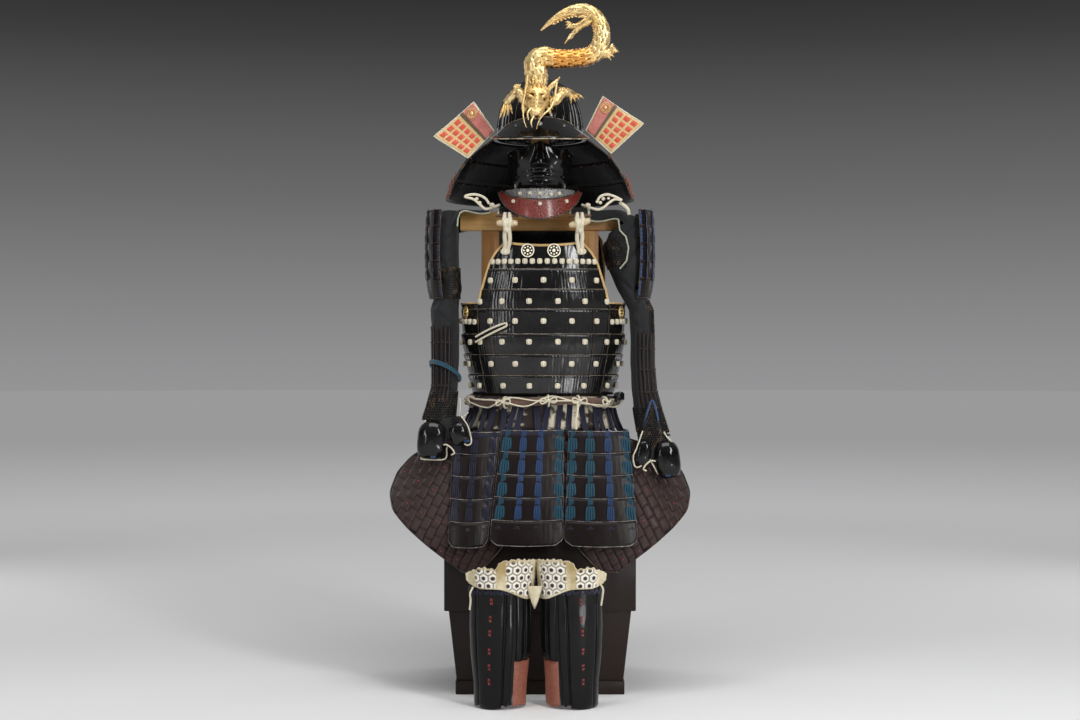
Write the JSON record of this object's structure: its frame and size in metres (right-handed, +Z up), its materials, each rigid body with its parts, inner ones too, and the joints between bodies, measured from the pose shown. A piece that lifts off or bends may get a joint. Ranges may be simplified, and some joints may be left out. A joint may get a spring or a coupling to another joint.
{
  "type": "samurai armour on a wooden stand and armour chest",
  "caption": "Laced black-lacquer armour set with ridged helmet, gilt dragon crest, half mask, cuirass, skirt, sleeves and shin guards on a stand and chest.",
  "frame": {"origin": "middle of the armour chest's flat base, on the ground", "axes": "+Z up, -Y towards the front of the armour, +X to the right as seen from the front"},
  "size_m": [0.696, 0.6255, 1.5738],
  "materials": {
    "lacquer": "black lacquer, glossy, finely crazed",
    "chest_lacquer": "dark brown-black lacquered wood, rubbed at the edges",
    "stand_wood": "plain planed light wood",
    "gilt": "gilded carving with bright highlights",
    "plates": "brown-black lacquered lames laced with blue cord",
    "red_leather": "red-brown pebbled leather",
    "sleeve_cloth": "dark woven cloth with mail and splints",
    "pale_cloth": "cream cloth and cord",
    "belt_cloth": "brown rolled cloth",
    "silver_lame": "silver-grey lacquered lame",
    "wing_facing": "cream and gold leather with red lacing squares",
    "ivory": "polished bone-coloured toggle"
  },
  "bodies": {
    "armour": {"half_mask": "lacquer", "cuirass_front": "lacquer", "cuirass_back": "lacquer", "cuirass_side_L": "lacquer", "cuirass_side_R": "lacquer", "shoulder_strap_L": "lacquer", "shoulder_strap_R": "lacquer", "belt_knot": "lacquer", "forearm_guard_L": "lacquer", "forearm_guard_R": "lacquer", "hand_plate_L": "lacquer", "hand_plate_R": "lacquer", "thumb_plate_L": "lacquer", "thumb_plate_R": "lacquer", "shin_guard_L": "lacquer", "shin_guard_R": "lacquer", "chest_body": "chest_lacquer", "chest_lid": "chest_lacquer", "stand_base": "stand_wood", "stand_upright_L": "stand_wood", "stand_upright_R": "stand_wood", "stand_shoulder_bar": "stand_wood", "stand_head_post": "stand_wood", "tasset_front_C": "plates", "tasset_front_L": "plates", "tasset_front_R": "plates", "tasset_side_L": "plates", "tasset_side_R": "plates", "tasset_back_L": "plates", "tasset_back_R": "plates", "thigh_apron_L": "plates", "thigh_apron_R": "plates", "shoulder_guard_L": "plates", "shoulder_guard_R": "plates", "throat_lower": "red_leather", "shin_leather_L": "red_leather", "shin_leather_R": "red_leather", "sleeve_L": "sleeve_cloth", "sleeve_R": "sleeve_cloth", "waist_cloth": "pale_cloth", "belt_tail": "pale_cloth", "side_loop": "pale_cloth", "knee_cloth_L": "pale_cloth", "knee_cloth_R": "pale_cloth", "belt": "belt_cloth", "throat_upper": "silver_lame", "toggle_L": "ivory", "toggle_R": "ivory"},
    "helmet": {"helmet_bowl": "lacquer", "helmet_visor": "lacquer", "neck_guard_1": "lacquer", "neck_guard_2": "lacquer", "neck_guard_3": "lacquer", "wing_L": "wing_facing", "wing_R": "wing_facing", "crest_prong": "gilt"},
    "crest": {"crest_body": "gilt", "crest_head": "gilt", "crest_foreleg_L": "gilt", "crest_foreleg_R": "gilt"}
  },
  "joints": [
    {"name": "helmet_lift", "type": "slide", "parent": "armour", "child": "helmet", "axis": [0, 0, 1], "range_m": [0, 0.3]},
    {"name": "crest_lift", "type": "slide", "parent": "helmet", "child": "crest", "axis": [0, 0, 1], "range_m": [0, 0.07]}
  ]
}
